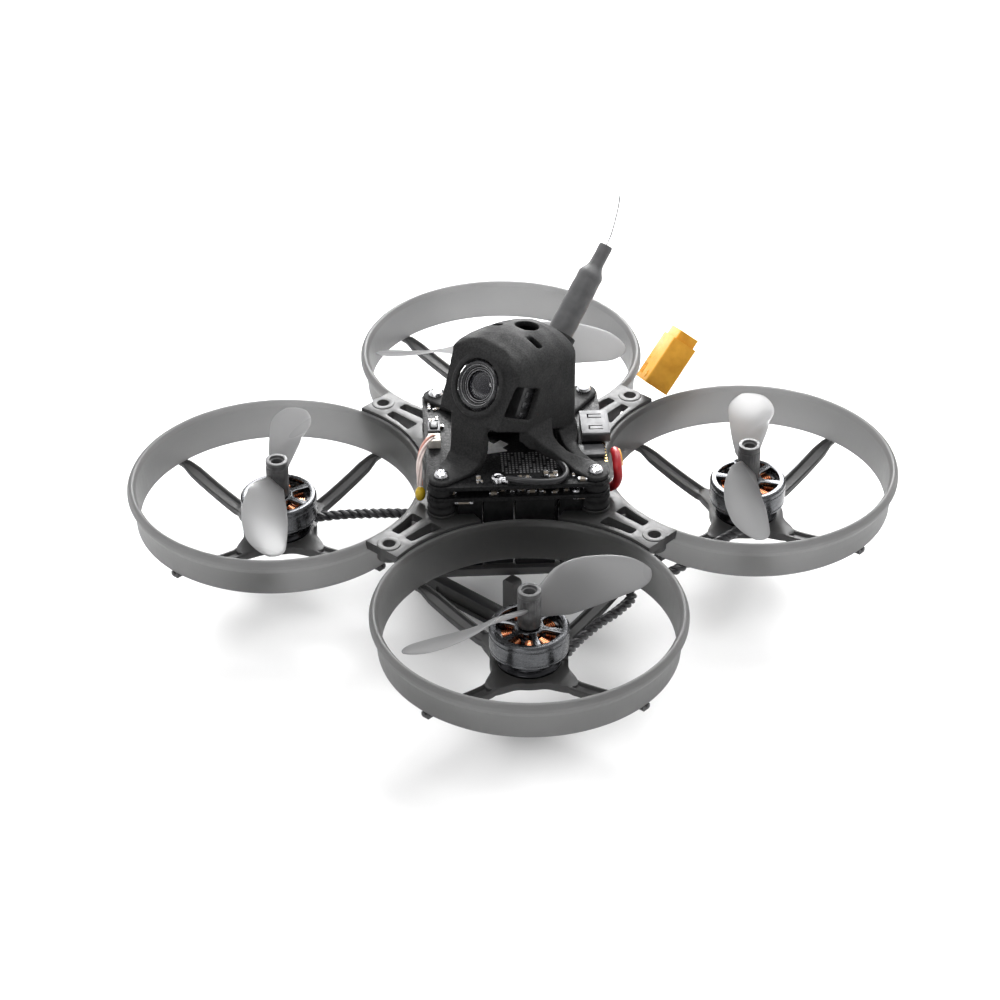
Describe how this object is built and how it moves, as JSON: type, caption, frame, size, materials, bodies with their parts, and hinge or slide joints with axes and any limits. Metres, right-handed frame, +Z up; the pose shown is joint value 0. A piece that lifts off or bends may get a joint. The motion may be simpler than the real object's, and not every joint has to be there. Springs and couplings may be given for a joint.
{
  "type": "ducted palm quadcopter",
  "caption": "Palm-sized four-rotor drone: ducted airframe, two-board stack, canopy with tilted camera, whip aerial and a battery lead with plug.",
  "frame": {"origin": "on the floor under the centre of the four rotors, at the bottom of the battery hoops", "axes": "+Z up, nose towards -Y, the drone's left towards +X"},
  "size_m": [0.114, 0.114, 0.0683],
  "materials": {
    "smoky_plastic": "translucent smoky grey moulded polycarbonate",
    "blade_plastic": "translucent light grey moulded polycarbonate",
    "canopy_plastic": "matte grainy dark grey moulding",
    "board_black": "black solder mask over glass-fibre board",
    "damper_rubber": "soft black rubber",
    "screw_steel": "bright steel",
    "bell_aluminium": "turned aluminium",
    "base_aluminium": "black anodised",
    "winding_copper": "enamelled copper on black laminations",
    "port_steel": "plated pressed steel",
    "button_black": "satin black",
    "connector_white": "off-white nylon",
    "plug_yellow": "yellow-orange moulded nylon",
    "bead_yellow": "yellow epoxy dip",
    "wire_black": "black silicone insulation",
    "wire_red": "red silicone insulation",
    "wire_pale": "pale pink and white insulation",
    "camera_plastic": "satin black",
    "lens_glass": "coated glass",
    "sleeve_grey": "grey heat-shrink",
    "whip_wire": "bare wire"
  },
  "bodies": {
    "airframe": {"duct_front_left": "smoky_plastic", "duct_front_right": "smoky_plastic", "duct_rear_left": "smoky_plastic", "duct_rear_right": "smoky_plastic", "motor_mount_front_left": "smoky_plastic", "motor_mount_front_right": "smoky_plastic", "motor_mount_rear_left": "smoky_plastic", "motor_mount_rear_right": "smoky_plastic", "junction_web_rear": "smoky_plastic", "junction_web_right": "smoky_plastic", "junction_web_front": "smoky_plastic", "junction_web_left": "smoky_plastic", "center_plate": "smoky_plastic", "battery_hoop_front": "smoky_plastic", "battery_hoop_rear": "smoky_plastic", "canopy": "canopy_plastic", "flight_controller": "board_black", "video_transmitter": "board_black", "damper_rear": "damper_rubber", "damper_right": "damper_rubber", "damper_front": "damper_rubber", "damper_left": "damper_rubber", "canopy_screw_rear": "screw_steel", "canopy_screw_right": "screw_steel", "canopy_screw_front": "screw_steel", "canopy_screw_left": "screw_steel", "motor_base_front_left": "base_aluminium", "motor_base_front_right": "base_aluminium", "motor_base_rear_left": "base_aluminium", "motor_base_rear_right": "base_aluminium", "motor_stator_front_left": "winding_copper", "motor_stator_front_right": "winding_copper", "motor_stator_rear_left": "winding_copper", "motor_stator_rear_right": "winding_copper", "usb_port": "port_steel", "bind_switch_frame": "port_steel", "camera_plug": "connector_white", "power_plug": "plug_yellow", "signal_capacitor": "bead_yellow", "motor_lead_front_left": "wire_black", "motor_lead_front_right": "wire_black", "motor_lead_rear_left": "wire_black", "motor_lead_rear_right": "wire_black", "power_lead_black": "wire_black", "power_lead_red": "wire_red", "camera_cable": "wire_pale", "camera_body": "camera_plastic", "lens_barrel": "camera_plastic", "lens_glass": "lens_glass", "antenna_sleeve": "sleeve_grey", "antenna_whip": "whip_wire"},
    "rotor_front_left": {"motor_bell_front_left": "bell_aluminium", "propeller_front_left": "blade_plastic"},
    "rotor_front_right": {"motor_bell_front_right": "bell_aluminium", "propeller_front_right": "blade_plastic"},
    "rotor_rear_left": {"motor_bell_rear_left": "bell_aluminium", "propeller_rear_left": "blade_plastic"},
    "rotor_rear_right": {"motor_bell_rear_right": "bell_aluminium", "propeller_rear_right": "blade_plastic"},
    "bind_switch_plunger": {"bind_button": "button_black"}
  },
  "joints": [
    {"name": "spin_front_left", "type": "hinge", "parent": "airframe", "child": "rotor_front_left", "pos_m": [0.03005, -0.03005, 0.0204], "axis": [0, 0, 1], "continuous": true},
    {"name": "spin_front_right", "type": "hinge", "parent": "airframe", "child": "rotor_front_right", "pos_m": [-0.03005, -0.03005, 0.0204], "axis": [0, 0, 1], "continuous": true},
    {"name": "spin_rear_left", "type": "hinge", "parent": "airframe", "child": "rotor_rear_left", "pos_m": [0.03005, 0.03005, 0.0204], "axis": [0, 0, 1], "continuous": true},
    {"name": "spin_rear_right", "type": "hinge", "parent": "airframe", "child": "rotor_rear_right", "pos_m": [-0.03005, 0.03005, 0.0204], "axis": [0, 0, 1], "continuous": true},
    {"name": "press_bind_button", "type": "slide", "parent": "airframe", "child": "bind_switch_plunger", "axis": [0, 0, -1], "range_m": [0, 0.00025], "stiffness_N_per_m": 1000}
  ]
}
